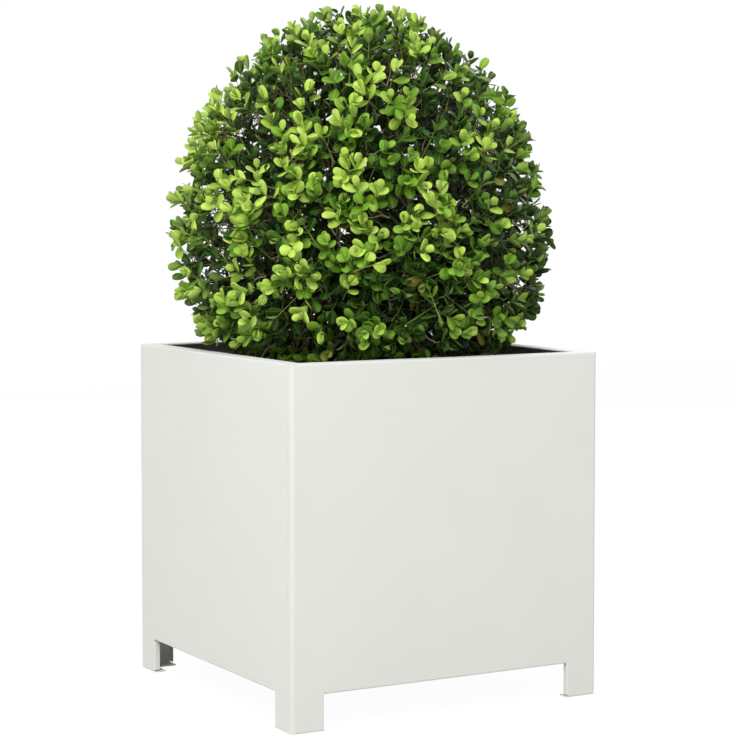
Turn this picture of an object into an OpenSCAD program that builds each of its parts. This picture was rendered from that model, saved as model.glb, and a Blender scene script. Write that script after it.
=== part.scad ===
// Square sheet steel planter on four folded corner legs, planted with a clipped leafy ball.
// Millimetres. The origin is on the ground under the middle of the planter, +Z is up,
// and the front face looks along -Y.

/* [Body] */
// Outer width and depth of the square body
width = 400; // [340:10:600]
// Height from the ground to the top of the rim
height = 400; // [320:10:600]
// Thickness of the folded steel sheet
sheet = 1.2; // [1:0.1:2]
// Inside radius of the upright corner bends
corner_bend = 3.3; // [2:0.1:8]
// Inside radius of the rim, ledge, foot and floor folds
fold_bend = 0.8; // [0.4:0.1:2]
// Width of the rim that is folded inward round the top
rim_width = 20; // [15:1:35]
// How far the front and back panels wrap round each corner
wrap = 9; // [8.5:0.5:10]
// Width of the butt seams and of the rim's mitres
seam = 0.3; // [0.2:0.05:0.6]
// Width of the small slits at the ends of the folds
relief = 1; // [0.6:0.1:2]

/* [Legs] */
// Width of each leg on each of its two faces
leg_width = 40; // [34:1:60]
// Height of the legs under the faces
leg_height = 40; // [20:1:100]
// Depth of the foot that is folded inward under each leg
foot_depth = 15; // [10:1:20]
// Depth of the return that is folded inward along each leg's inner edge
leg_return = 7; // [4:0.5:9]

/* [Floor] */
// Width of the ledge folded inward under each face
ledge_width = 20; // [16:1:30]
// Height of the floor's underside above the ledges
floor_rise = 15; // [12:1:40]
// Gap between the floor's skirts and the walls
floor_gap = 1; // [0.9:0.1:2]
// Distance from the floor's corners to the ends of its skirts
skirt_end = 34; // [32:1:38]
// Diameter of the drain holes
drain_d = 10; // [6:1:16]
// Drain holes along each bay of the floor
drain_rows = 3; // [2:1:6]
// Distance from the floor's front and back edges to the nearest drain holes
drain_margin = 60; // [30:1:120]
// Distance between the middles of the two floor beams
beam_spacing = 130; // [80:1:180]
// Thickness of the floor beams
beam_sheet = 1.5; // [1:0.1:2]
// Width of a floor beam's raised top
beam_top = 20; // [14:1:26]
// Width of each of a floor beam's two brims
beam_brim = 14; // [12:1:16]

/* [Corner angles and fasteners] */
// Width of the two wings of each corner angle
angle_wing = 28; // [24:1:30]
// Thickness of the corner angles
angle_sheet = 1.5; // [1:0.1:2]
// Inside radius of the corner angles' bend
angle_bend = 3.5; // [2:0.1:6]
// Clearance above and below each corner angle
angle_end_gap = 2; // [1:0.5:5]
// Fasteners up each wing of a corner angle
stud_rows = 3; // [2:1:5]
// Height of the lowest fasteners above the floor
stud_low = 40; // [20:1:80]
// Depth of the highest fasteners below the rim
stud_high = 45; // [20:1:80]
// Diameter of the weld studs
stud_d = 5; // [4:1:6]
// Length of the weld studs
stud_length = 9; // [8:0.5:10]
// Play round the studs in washers and nuts
stud_play = 0.1; // [0.05:0.01:0.2]

/* [Plant] */
// Depth of the soil's surface below the rim
soil_drop = 32; // [20:1:60]
// Gap between the soil block and the edge of the rim
soil_gap = 1.5; // [1:0.1:5]
// Radius of the soil block's upright edges
soil_corner = 12; // [4:1:40]
// Radius of the root ball at the surface
root_radius = 115; // [60:1:125]
// Depth of the root ball
root_depth = 180; // [80:1:200]
// Diameter of the main stem
stem_d = 24; // [16:1:34]
// Depth of the main stem inside the root ball
stem_depth = 40; // [20:1:70]
// Radius of the leafy ball at its widest
ball_radius = 234; // [200:1:260]
// Height of the widest level above the rim
ball_level = 128; // [110:1:160]
// Height of the ball above its widest level
ball_above = 279; // [220:1:320]
// Depth that the ball's lower half would have if it were whole
ball_below = 213; // [195:1:260]
// Thickness of the leafy layer
leaf_layer = 50; // [35:1:65]
// Gap between the leaves and the edge of the rim
leaf_gap = 10; // [5:1:15]
// Height of the leaves above the rim and above the soil
leaf_lift = 4; // [2:0.5:8]
// Radius of the bare throat under the ball
throat_radius = 57; // [40:1:70]

/* [Leafy sprays] */
// Number of leafy sprays, which make the ball's lumps
spray_count = 300; // [200:10:360]
// Radius of the smallest spray
spray_small = 15; // [12:1:18]
// Radius of the largest spray
spray_large = 23; // [19:1:26]
// Depth of the proudest spray's top under the ball's outline
spray_proud = 8; // [0:0.5:12]
// Depth of the most sunken spray's top under the ball's outline
spray_sunken = 22; // [13:1:26]
// Depth of the dips between the sprays under the ball's outline
spray_dip = 31; // [18:1:32]
// How far the sprays lie sunken in the deepest dent of the clipped ball
dent_depth = 14; // [0:1:20]

/* [Hidden] */
half = width / 2;
inner = half - sheet;
corner_r = corner_bend + sheet;
fold_r = fold_bend + sheet;
leg_x = half - leg_width;
wrap_end = half - wrap;
ledge_top = leg_height + sheet;
floor_under = ledge_top + floor_rise;
floor_top = floor_under + sheet;
floor_half = inner - floor_gap;
opening_half = half - rim_width;

angle_r = max(angle_bend + angle_sheet, corner_bend + seam);
stud_along = inner - (angle_r + angle_wing) / 2;
stud_first = floor_top + stud_low;
stud_step = (height - stud_high - stud_first) / (stud_rows - 1);
stud_base_d = 1.3 * stud_d;
stud_base_h = 0.8;
stud_chamfer = 0.5;
hole_d = stud_base_d + 0.5;
washer_d = 2 * stud_d;
washer_h = 0.2 * stud_d;
nut_flats = 1.6 * stud_d;
nut_h = 0.8 * stud_d;

beam_x = beam_spacing / 2;
beam_half = floor_half - sheet - floor_gap;
beam_stud_x = (beam_top + beam_brim) / 2;
beam_stud_y = half - (fold_r + ledge_width) / 2;
bay_x = (beam_x + beam_top / 2 + floor_half) / 2;
drain_first = floor_half - drain_margin;
drain_step = 2 * drain_first / (drain_rows - 1);

over = 1;
rest_gap = 0.3;
fit = 0.2;
soil_half = opening_half - soil_gap;
soil_top = height - soil_drop;
ball_z = height + ball_level;
plug_r = opening_half - leaf_gap;
shelf_z = height + leaf_lift;
bottom_z = soil_top + leaf_lift;
hollow_r = ball_radius - leaf_layer;
hollow_above = ball_above - leaf_layer;
throat_turn = acos(throat_radius / hollow_r);
throat_h = 10;
root_foot = 0.8 * root_radius;
root_chamfer = 0.15 * root_radius;
hollow_below = (ball_z - bottom_z - throat_h) / sin(throat_turn);
hollow_step = 6;

golden_turn = 137.508;
spray_span = 1.57;
spray_drift = 0.8;
spray_stray = 10;
spray_flare = 1.6;
spray_wide = sqrt(spray_flare * spray_large * spray_dip);
lump_turn = 3.5;
lump_sides = 90;

limb_r = stem_d / 6;
twig_r = stem_d / 12;
limb_gap = twig_r + 0.6;
crown_z = bottom_z + throat_h + 2 * stem_d;
leader_z = ball_z + 0.3 * hollow_above;
fork_reach = 0.62;
fork_lag = 0.8;

// Each ring of limbs: where it starts on the stem from the crown, 0, to the leader's top, 1,
// the height angle and the bearing of its first limb, its number of limbs and their spread
LIMB_RINGS = [
    [0, -22, 0, 6, 15],
    [0.14, 12, 30, 6, 14],
    [0.5, 48, 10, 5, 16]
];

// Each dent of the clipped ball: its height angle, bearing, share of the depth and width
DENTS = [
    [16, -30, 1, 50],
    [-13, -30, 1, 45],
    [53, -30, 0.6, 45],
    [-25, 150, 0.7, 45]
];

$fn = 64;

// Plan outlines

module rounded_square(h, r) {
    square([2 * h, 2 * (h - r)], center = true);
    square([2 * (h - r), 2 * h], center = true);
    for (x = [-1, 1], y = [-1, 1])
        translate([x * (h - r), y * (h - r)]) circle(r);
}

// Everything on the front side of the two mitre lines
module mitre_wedge() {
    back = seam / sqrt(2);
    polygon([[0, -back], [width, -width - back], [-width, -width - back]]);
}

// Folds, along X at the front face, turning inward from a wall above them

module bend_outline() {
    translate([fold_r, fold_r]) intersection() {
        difference() {
            circle(fold_r);
            circle(fold_bend);
        }
        translate([-fold_r, -fold_r]) square(fold_r);
    }
}

module fold_bend_only(length) {
    rotate([90, 0, 90]) linear_extrude(length, center = true) bend_outline();
}

module fold(length, depth) {
    fold_bend_only(length);
    translate([-length / 2, fold_r, 0]) cube([length, depth - fold_r, sheet]);
}

// The mitred rim of one face, with its bend along the stretch that the wall holds
module rim(bend_length) {
    translate([0, -half, height]) mirror([0, 0, 1]) fold_bend_only(bend_length);
    translate([0, 0, height - sheet]) linear_extrude(sheet) difference() {
        intersection() {
            rounded_square(half, corner_r);
            mitre_wedge();
        }
        square(2 * opening_half, center = true);
        translate([-bend_length / 2, -half]) square([bend_length, fold_r]);
    }
}

// The ledge under one face and the feet under its two legs.
// foot_end is the distance from the middle to the outer end of each foot.
module lower_folds(foot_end) {
    translate([0, -half, leg_height]) fold(2 * (leg_x - relief), ledge_width);
    for (side = [-1, 1])
        translate([side * (leg_x + foot_end) / 2, -half, 0]) fold(foot_end - leg_x, foot_depth);
}

// The returns along the inner edges of one face's two legs, clear of the feet and the ledge
module leg_returns() {
    z0 = fold_r + relief;
    z1 = leg_height - relief;
    for (side = [0, 1])
        mirror([side, 0, 0]) translate([leg_x, -half, z0]) linear_extrude(z1 - z0) {
            bend_outline();
            translate([0, fold_r]) square([sheet, leg_return - fold_r]);
        }
}

// What a flat wall gives up to the ledge, the returns, the feet and the rim
module fold_cuts(foot_end, rim_half) {
    deep = 4 * sheet;
    translate([0, -half, 0]) {
        cube([2 * leg_x, deep, 2 * (leg_height + fold_r)], center = true);
        cube([2 * (leg_x + fold_r), deep, 2 * leg_height], center = true);
        cube([2 * foot_end, deep, 2 * fold_r], center = true);
        translate([0, 0, height]) cube([2 * rim_half, deep, 2 * fold_r], center = true);
    }
}

// Panels

// Front and back: a face that wraps round both corners
module wrapped_panel() {
    flat_half = half - corner_r;
    foot_end = flat_half - relief;
    color("#E4E5DE") {
        difference() {
            linear_extrude(height - sheet) difference() {
                rounded_square(half, corner_r);
                rounded_square(inner, corner_bend);
                translate([-half - over, -wrap_end]) square([width + 2 * over, width]);
            }
            fold_cuts(foot_end, flat_half);
        }
        rim(2 * flat_half);
        lower_folds(foot_end);
        leg_returns();
    }
}

// Left and right: a flat face that butts against the wrapped edges
module flat_panel() {
    flat_half = wrap_end - seam;
    foot_end = half - foot_depth - relief / 2;
    color("#E0E1DA") {
        difference() {
            translate([-flat_half, -half, 0]) cube([2 * flat_half, sheet, height - sheet]);
            fold_cuts(foot_end, flat_half);
        }
        rim(2 * flat_half);
        lower_folds(foot_end);
        leg_returns();
    }
}

module front_panel() wrapped_panel();
module back_panel() rotate(180) wrapped_panel();
module left_panel() rotate(-90) flat_panel();
module right_panel() rotate(90) flat_panel();

// Corner angles

module at_studs(sides, rows) {
    for (side = sides, row = rows)
        translate([side * stud_along, -inner, stud_first + row * stud_step])
            rotate([-90, 0, 0]) children();
}

// The angle in the front left corner
module corner_angle() {
    z0 = fold_r + angle_end_gap;
    z1 = height - fold_r - angle_end_gap;
    color("#DCDDD6") difference() {
        translate([0, 0, z0]) linear_extrude(z1 - z0) intersection() {
            difference() {
                rounded_square(inner, angle_r);
                rounded_square(inner - angle_sheet, angle_r - angle_sheet);
            }
            translate([-inner, -inner]) square(angle_wing);
        }
        at_studs([-1], [0 : stud_rows - 1]) cylinder(h = 4 * angle_sheet, d = hole_d, center = true);
        rotate(-90) at_studs([1], [0 : stud_rows - 1])
            cylinder(h = 4 * angle_sheet, d = hole_d, center = true);
    }
}

module corner_angle_front_left() corner_angle();
module corner_angle_front_right() rotate(90) corner_angle();
module corner_angle_back_right() rotate(180) corner_angle();
module corner_angle_back_left() rotate(-90) corner_angle();

// Fasteners, each standing on z = 0

module stud() {
    cylinder(h = stud_base_h, d = stud_base_d);
    cylinder(h = stud_length - stud_chamfer, d = stud_d);
    translate([0, 0, stud_length - stud_chamfer])
        cylinder(h = stud_chamfer, d1 = stud_d, d2 = stud_d - 2 * stud_chamfer);
}

module washer() {
    difference() {
        cylinder(h = washer_h, d = washer_d);
        translate([0, 0, -over]) cylinder(h = washer_h + 2 * over, d = stud_d + 2 * stud_play);
    }
}

module nut() {
    difference() {
        cylinder(h = nut_h, d = nut_flats / cos(30), $fn = 6);
        translate([0, 0, -over]) cylinder(h = nut_h + 2 * over, d = stud_d + 2 * stud_play);
    }
}

module all_corners() {
    for (turn = [0 : 3])
        rotate(90 * turn) at_studs([-1, 1], [0 : stud_rows - 1]) children();
}

module all_beam_ends() {
    for (beam = [-1, 1], side = [-1, 1], end = [-1, 1])
        translate([beam * beam_x + side * beam_stud_x, end * beam_stud_y, ledge_top]) children();
}

module corner_studs() color("#8F9499") all_corners() stud();
module corner_washers() color("#A5A9AD")
    all_corners() translate([0, 0, angle_sheet]) washer();
module corner_nuts() color("#979CA1")
    all_corners() translate([0, 0, angle_sheet + washer_h]) nut();

module beam_studs() color("#8F9499") all_beam_ends() stud();
module beam_washers() color("#A5A9AD")
    all_beam_ends() translate([0, 0, beam_sheet]) washer();
module beam_nuts() color("#979CA1")
    all_beam_ends() translate([0, 0, beam_sheet + washer_h]) nut();

// Floor

module floor_plate() {
    flat = floor_half - fold_r;
    skirt = 2 * (floor_half - skirt_end);
    color("#C9CBC6") difference() {
        union() {
            translate([0, 0, floor_under]) linear_extrude(sheet) rounded_square(flat, corner_bend);
            for (turn = [0 : 3]) rotate(90 * turn) {
                translate([0, -floor_half, floor_top]) mirror([0, 0, 1]) fold_bend_only(skirt);
                translate([-skirt / 2, -floor_half, ledge_top])
                    cube([skirt, sheet, floor_rise + sheet - fold_r]);
            }
        }
        for (x = [-bay_x, 0, bay_x], row = [0 : drain_rows - 1])
            translate([x, row * drain_step - drain_first, floor_under - over])
                cylinder(h = sheet + 2 * over, d = drain_d);
    }
}

// A top hat section from the front ledge to the back ledge
module floor_beam() {
    a = beam_top / 2;
    b = a + beam_brim;
    t = beam_sheet;
    color("#B4B8BA") difference() {
        rotate([90, 0, 0]) linear_extrude(2 * beam_half, center = true) polygon([
            [-b, 0], [-a + t, 0], [-a + t, floor_rise - t], [a - t, floor_rise - t],
            [a - t, 0], [b, 0], [b, t], [a, t], [a, floor_rise], [-a, floor_rise], [-a, t], [-b, t]
        ]);
        for (side = [-1, 1], end = [-1, 1])
            translate([side * beam_stud_x, end * beam_stud_y, 0])
                cylinder(h = 4 * t, d = hole_d, center = true);
    }
}

module floor_beam_left() translate([-beam_x, 0, ledge_top]) floor_beam();
module floor_beam_right() translate([beam_x, 0, ledge_top]) floor_beam();

// Soil and roots

// The root ball narrows to root_foot at the bottom of a tapered pot shape
module root_shape(grow) {
    z0 = soil_top - root_depth - grow;
    rotate_extrude() polygon([
        [0, z0], [root_foot - root_chamfer + grow, z0], [root_foot + grow, z0 + root_chamfer],
        [root_radius + grow, soil_top], [0, soil_top]
    ]);
}

module potting_soil() {
    z0 = floor_top + rest_gap;
    color("#3B2C20") difference() {
        translate([0, 0, z0]) linear_extrude(soil_top - z0) rounded_square(soil_half, soil_corner);
        root_shape(fit);
        translate([0, 0, soil_top]) cylinder(h = 2 * over, r = root_radius + fit, center = true);
    }
}

module root_ball() {
    color("#4A3626") difference() {
        root_shape(0);
        translate([0, 0, soil_top - stem_depth])
            cylinder(h = stem_depth + over, d = stem_d + 2 * fit);
    }
}

// Stems

// A point on the hollow's wall: turn is its height angle, around its bearing, and reach
// how far out it lies, from 0 at the hollow's middle to 1 at the wall
function limb_point(turn, around, reach) =
    let (tall = turn < 0 ? hollow_below : hollow_above)
    [
        reach * (hollow_r - limb_gap) * cos(turn) * cos(around),
        reach * (hollow_r - limb_gap) * cos(turn) * sin(around),
        ball_z + reach * (tall - limb_gap) * sin(turn)
    ];

module limb(from, to, r0, r1) {
    hull() {
        translate(from) sphere(r0, $fn = 8);
        translate(to) sphere(r1, $fn = 8);
    }
}

// A limb leaves the main stem, thins to a fork and ends in two twigs at the leafy layer
module forked_limb(start_z, turn, around, spread) {
    fork = limb_point(turn * fork_lag, around, fork_reach);
    fork_r = (limb_r + twig_r) / 2;
    limb([0, 0, start_z], fork, limb_r, fork_r);
    for (side = [-1, 1])
        limb(fork, limb_point(turn + side * spread / 2, around + side * spread, 1), fork_r, twig_r);
}

module stems() {
    color("#6B5A3E") {
        translate([0, 0, soil_top - stem_depth + fit])
            cylinder(h = crown_z - soil_top + stem_depth, d = stem_d, $fn = 12);
        limb([0, 0, crown_z], [0, 0, leader_z], stem_d / 2, limb_r);
        limb([0, 0, leader_z], limb_point(90, 0, 1), limb_r, twig_r);
        for (ring = LIMB_RINGS, i = [0 : ring[3] - 1]) {
            start_z = crown_z + ring[0] * (leader_z - crown_z);
            forked_limb(start_z, ring[1], ring[2] + 360 * i / ring[3], ring[4]);
        }
    }
}

// Foliage

// A point of the ball at a height angle and a bearing, at a depth under its outline
function under_outline(turn, around, depth) =
    let (
        tall = turn < 0 ? ball_below : ball_above,
        slope = [cos(turn) / ball_radius, sin(turn) / tall],
        out = slope / norm(slope),
        r = ball_radius * cos(turn) - depth * out[0]
    )
    [r * cos(around), r * sin(around), ball_z + tall * sin(turn) - depth * out[1]];

function hollow_point(turn) =
    let (tall = turn < 0 ? hollow_below : hollow_above)
    [hollow_r * cos(turn), ball_z + tall * sin(turn)];

// The k-th chance number of spray i, from 0 to 1: the far decimals of a sine
function chance(i, k) =
    let (value = 43758.5453 * abs(sin(78.233 * i + 37.719 * k)))
    value - floor(value);

// How much a point of the outline lies in a dent, from 0 to 1
function dented(point) = max([
    for (dent = DENTS)
        dent[2] * exp(-pow(norm(point - under_outline(dent[0], dent[1], 0)) / dent[3], 2))
]);

// Each spray: its middle on the ball's outline, the depth of its top and its radius.
// The sprays wind down from the top by the golden turn, as leaves do round a stem.
SPRAYS = [
    for (i = [0 : spray_count - 1])
        let (
            share = (i + 0.5 + spray_drift * (chance(i, 1) - 0.5)) / spray_count,
            turn = asin(1 - spray_span * share),
            around = golden_turn * i + spray_stray * (chance(i, 2) - 0.5),
            middle = under_outline(turn, around, 0),
            level = spray_proud + (spray_sunken - spray_proud) * pow(chance(i, 3), 2)
        )
        [
            middle,
            level + dent_depth * dented(middle),
            spray_small + (spray_large - spray_small) * chance(i, 4)
        ]
];

// The sprays whose tops are near a level
function sprays_near(z) = [for (spray = SPRAYS) if (abs(spray[0][2] - z) < spray_wide) spray];

// The leafy surface over a point of the outline: the highest of the sprays near it, or the dip
function leaf_point(turn, around, near) =
    let (
        point = under_outline(turn, around, 0),
        domes = [for (s = near) s[1] + pow(norm(point - s[0]), 2) / (spray_flare * s[2])]
    )
    under_outline(turn, around, min(concat(domes, [spray_dip])));

// The bearing of a corner of a row. Every other row is turned by half a side.
function bearing(row, i) = (i + (row % 2) / 2) * 360 / lump_sides;

function leaf_ring(turn, row) =
    let (near = sprays_near(under_outline(turn, 0, 0)[2]))
    [for (i = [0 : lump_sides - 1]) leaf_point(turn, bearing(row, i), near)];

function level_ring(r, z, row) =
    [for (i = [0 : lump_sides - 1]) [r * cos(bearing(row, i)), r * sin(bearing(row, i)), z]];

// The two faces between corner i of a row and the next row
function row_faces(row, i) =
    let (
        next = (i + 1) % lump_sides,
        a = 1 + row * lump_sides + i,
        b = 1 + row * lump_sides + next,
        c = b + lump_sides,
        d = a + lump_sides
    )
    row % 2 == 0 ? [[a, b, d], [b, c, d]] : [[a, b, c], [a, c, d]];

// The ball with its lumps and the plug that reaches down inside the rim, without its hollow
module leafy_ball() {
    shelf_turn = -asin(min(1, (ball_z - shelf_z) / ball_below));
    shelf_r = max(plug_r, under_outline(shelf_turn, 0, spray_dip / 2)[0]);
    turns = [for (turn = [90 - lump_turn : -lump_turn : shelf_turn + lump_turn / 2]) turn];
    n = len(turns);
    rings = concat(
        [for (row = [0 : n - 1]) leaf_ring(turns[row], row)],
        [level_ring(shelf_r, shelf_z, n), level_ring(plug_r, shelf_z, n + 1)],
        [level_ring(plug_r, bottom_z, n + 2)]
    );
    top = leaf_point(90, 0, sprays_near(ball_z + ball_above));
    last = 1 + len(rings) * lump_sides;
    first = last - lump_sides;
    polyhedron(
        points = concat([top], [for (ring = rings) each ring], [[0, 0, bottom_z]]),
        faces = concat(
            [for (i = [0 : lump_sides - 1]) [0, 1 + (i + 1) % lump_sides, 1 + i]],
            [for (row = [0 : len(rings) - 2], i = [0 : lump_sides - 1]) each row_faces(row, i)],
            [for (i = [0 : lump_sides - 1]) [first + i, first + (i + 1) % lump_sides, last]]
        )
    );
}

module foliage() {
    color("#5F8A2E") difference() {
        leafy_ball();
        rotate_extrude() polygon(concat(
            [[0, bottom_z - over], [throat_radius, bottom_z - over], [throat_radius, bottom_z]],
            [for (turn = [-throat_turn : hollow_step : 90 - hollow_step / 2]) hollow_point(turn)],
            [[0, ball_z + hollow_above]]
        ));
    }
}

front_panel();
back_panel();
left_panel();
right_panel();
corner_angle_front_left();
corner_angle_front_right();
corner_angle_back_left();
corner_angle_back_right();
floor_plate();
floor_beam_left();
floor_beam_right();
corner_studs();
corner_washers();
corner_nuts();
beam_studs();
beam_washers();
beam_nuts();
potting_soil();
root_ball();
stems();
foliage();
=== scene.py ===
import math
from functools import partial

import bpy
import numpy as np
from bpy.props import FloatProperty, FloatVectorProperty, IntProperty, PointerProperty
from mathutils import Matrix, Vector


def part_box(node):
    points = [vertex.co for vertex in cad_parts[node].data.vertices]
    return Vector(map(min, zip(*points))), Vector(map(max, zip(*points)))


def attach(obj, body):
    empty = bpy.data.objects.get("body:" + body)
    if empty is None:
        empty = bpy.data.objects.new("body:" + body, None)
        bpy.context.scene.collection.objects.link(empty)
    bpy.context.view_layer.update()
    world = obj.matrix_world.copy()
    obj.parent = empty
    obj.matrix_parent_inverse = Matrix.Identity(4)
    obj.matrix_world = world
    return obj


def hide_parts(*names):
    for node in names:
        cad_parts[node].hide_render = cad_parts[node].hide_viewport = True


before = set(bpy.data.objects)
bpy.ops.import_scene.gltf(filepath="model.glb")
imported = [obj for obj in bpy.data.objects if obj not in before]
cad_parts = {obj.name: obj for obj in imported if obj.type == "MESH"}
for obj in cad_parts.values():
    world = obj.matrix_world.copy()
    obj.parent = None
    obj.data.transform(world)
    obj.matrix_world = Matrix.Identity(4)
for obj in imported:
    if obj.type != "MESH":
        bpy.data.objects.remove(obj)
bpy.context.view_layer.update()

bl_info = {
    "name": "Planted Steel Planter",
    "version": (1, 0, 0),
    "blender": (4, 5, 0),
    "location": "View3D > Sidebar > Planter",
    "description": "Finishes a folded steel planter and grows its clipped box ball",
    "category": "Object",
}

MM = 0.001
UP = np.array([0.0, 0.0, 1.0])

# Sizes that these pieces share with the solids
RIM_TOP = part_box("front_panel")[1].z
RIM_HALF = 0.180
SOIL_LOW, SOIL_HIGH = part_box("potting_soil")
ROOT_LOW, ROOT_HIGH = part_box("root_ball")
ROOT_FOOT = 0.8 * ROOT_HIGH.x
LEAF_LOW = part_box("foliage")[0].z
BALL_RADIUS = 0.234
BALL_MIDDLE = RIM_TOP + 0.128
BALL_ABOVE = 0.279
BALL_BELOW = 0.213
HOLLOW_RADIUS = BALL_RADIUS - 0.050
HOLLOW_ABOVE = BALL_ABOVE - 0.050
HOLLOW_BELOW = 0.1536
LIMB_INSET = 0.0026
CROWN = LEAF_LOW + 0.058
LEADER = BALL_MIDDLE + 0.3 * HOLLOW_ABOVE
PLUG_RADIUS = 0.166
SPRAYS = 300
SPRAY_SPAN = 1.57
SPRAY_PROUD, SPRAY_SUNKEN = 8 * MM, 22 * MM
DENT_DEPTH = 14 * MM
# Each dent of the clipped ball: its height angle, bearing, share of the depth and width in mm
DENTS = ((16, -30, 1, 50), (-13, -30, 1, 45), (53, -30, 0.6, 45), (-25, 150, 0.7, 45))
# Each airy place of the ball, where light falls through: its height angle, bearing, share of
# the shoots that are missing and width in mm
AIRY = (
    (-8, 152, 0.35, 110), (-8, 186, 0.8, 65), (-8, 116, 0.8, 65), (30, 150, 0.3, 60),
    (-24, -32, 0.5, 70), (-13, -48, 0.85, 40), (-13, -30, 0.92, 42), (-13, -12, 0.85, 40),
    (16, -42, 0.85, 30), (16, -18, 0.85, 30), (50, -30, 0.45, 50),
)
# Places with more new growth and with more old growth, which also paint light on the front of
# the ball and shade low on its front right: height angle, bearing, how much and width
FRESH_AND_PAINTED_LIGHT = ((8, -122, 0.42, 95),)
OLD_AND_PAINTED_SHADE = ((-20, -78, 0.2, 85), (-5, -35, 0.15, 80))
# New growth is strongest on the side that has stood toward the sun, less so further inside. This
# also paints light on that side of the ball and shade on the far side
SUN = np.array([-0.9, -0.12, 0.42])
SUN_AND_PAINTED_LIGHT_OUTSIDE, SUN_AND_PAINTED_LIGHT_INSIDE = 0.38, 0.1

# Each ring of limbs, as in the solids: where it leaves the stem from the crown, 0, to the
# leader's top, 1, the height angle and bearing of its first limb, its number and its spread
LIMB_RINGS = ((0, -22, 0, 6, 15), (0.14, 12, 30, 6, 14), (0.5, 48, 10, 5, 16))
# Room that leaves and twigs keep to the rim and the soil
LEAF_ROOM, TWIG_ROOM = 3 * MM, 2 * MM
# Wood: the number of points along its path, how much it sways, and its radius at both ends
LEADER_TOP = (8, 0.06, 0.004, 0.0016)
LIMB = (10, 0.06, 0.0042, 0.0028)
FORK = (9, 0.08, 0.0027, 0.0014)
BRANCH = (8, 0.1, 0.0016, 0.0009)
TWIG = (6, 0.12, 0.00085, 0.00055)
# Ends of branches in the ball, roots that run over the root ball and the length of their steps
BRANCH_ENDS, SURFACE_ROOTS, ROOT_STEP = 300, 90, 6 * MM
# How leaves change from a shoot's newest pair, 0, to its older ones: how far a pair opens in
# degrees, and its leaves' size, cupping and curl
OPENING = ([0, 1, 2, 4], [30, 48, 62, 74])
GROWTH = ([0, 1, 2, 3], [0.7, 0.92, 1.0, 1.0])
CUP = ([0, 1, 3], [0.34, 0.24, 0.06])
CURL = ([0, 1, 3], [0.16, 0.04, -0.1])
# Half widths of a leaf at its six rings from stalk to tip, against a plain oval's
LEAF_WIDTHS = (0.30, 0.66, 0.92, 1.03, 1.08, 1.12)
# Side veins on each half of a leaf
SIDE_VEINS = 14
# The rounding of the soil block's upright edges, and how deep its crumbs are pushed in
SOIL_ROUNDING, CRUMB_DEPTH = 12 * MM, 2.2 * MM
# Most triangles of one piece
PIECE_TRIANGLES = 190_000

# How much of the floor's look is its own even white, where it is seen directly
WHITE_SHARE = 0.95
# The camera, as fitted to the photograph: focal length in mm, place, pitch and turn in degrees
LENS, LENS_SHIFT = 105.834, -0.06
CAMERA_PLACE = (-1.2684, -2.2405, 0.5719)
CAMERA_PITCH, CAMERA_TURN = -3.184, -29.681
# The height that the lamps aim at, their width and their distance
LAMP_AIM, LAMP_SIZE, LAMP_DISTANCE = 0.45, 2.2, 3.2


def linear(text):
    """The linear colour, with alpha, of an sRGB hex value such as #E4E5DE."""
    parts = [int(text[i : i + 2], 16) / 255 for i in (1, 3, 5)]
    return tuple(
        p / 12.92 if p <= 0.04045 else ((p + 0.055) / 1.055) ** 2.4 for p in parts
    ) + (1.0,)


def colour(name, description, text):
    """A colour setting."""
    kind = {"subtype": "COLOR", "size": 4, "min": 0, "max": 1}
    return FloatVectorProperty(
        name=name, description=description, default=linear(text), **kind
    )


def amount(name, description, value, **more):
    """A setting that is a number, never below zero."""
    return FloatProperty(name=name, description=description, default=value, min=0, **more)


def length(name, description, millimetres):
    """A length setting, given in millimetres and kept in metres."""
    kind = {"unit": "LENGTH", "subtype": "DISTANCE", "precision": 4}
    return amount(name, description, millimetres * MM, **kind)


class SteelSettings(bpy.types.PropertyGroup):
    """Finishes of the folded sheet and its fasteners."""

    paint: colour("Powder coat", "Colour of the powder coated panels", "#DEDFDC")
    zinc: colour("Galvanised steel", "Colour of the angles and floor beams", "#A9AEB1")
    plate: colour("Zinc plate", "Colour of the studs, washers and nuts", "#B9BCBE")
    paint_roughness: amount(
        "Paint roughness", "How matt the powder coat is", 0.62, subtype="FACTOR", max=1
    )


class SoilSettings(bpy.types.PropertyGroup):
    """Potting mix and root ball."""

    soil: colour("Potting mix", "Colour of the moist peat", "#34261B")
    root: colour("Fine roots", "Colour of the matted fine roots", "#B39B74")
    grain: length("Grain", "Size of the mesh that carries the crumbs", 4.5)
    crumb: length("Crumb", "Mean size of the loose crumbs", 5)
    crumbs: IntProperty(
        name="Crumbs",
        description="Loose crumbs on the surface",
        min=0,
        default=1500,
    )


class PlantSettings(bpy.types.PropertyGroup):
    """Wood and leaves of the box plant."""

    seed: IntProperty(
        name="Seed", description="Start of the plant's random choices", default=13
    )
    leaf_length: length("Leaf length", "Length of a full-grown leaf", 19)
    leaf_width: length("Leaf width", "Width of a full-grown leaf", 13.8)
    leaf_thickness: length("Leaf thickness", "Thickness of a leaf at its midrib", 0.4)
    internode: length("Internode", "Distance between leaf pairs on a shoot", 9)
    fresh: colour("Fresh leaf", "Colour of the newest leaves", "#C0DD60")
    grown: colour("Grown leaf", "Colour of this year's leaves", "#78A72F")
    old: colour("Old leaf", "Colour of last year's leaves", "#264A0A")
    bark: colour("Bark", "Colour of the old wood", "#5C5440")


class StageSettings(bpy.types.PropertyGroup):
    """Floor, light and camera."""

    floor: colour("Floor", "Colour of the floor", "#DCDCCE")
    key_power: amount("Key power", "Power of the large lamp", 98.5, unit="POWER")
    fill_power: amount("Fill power", "Power of the lamp behind", 34, unit="POWER")
    ambient: amount("Ambient", "Strength of the light from all round", 0.4)


# Small tools


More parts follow.
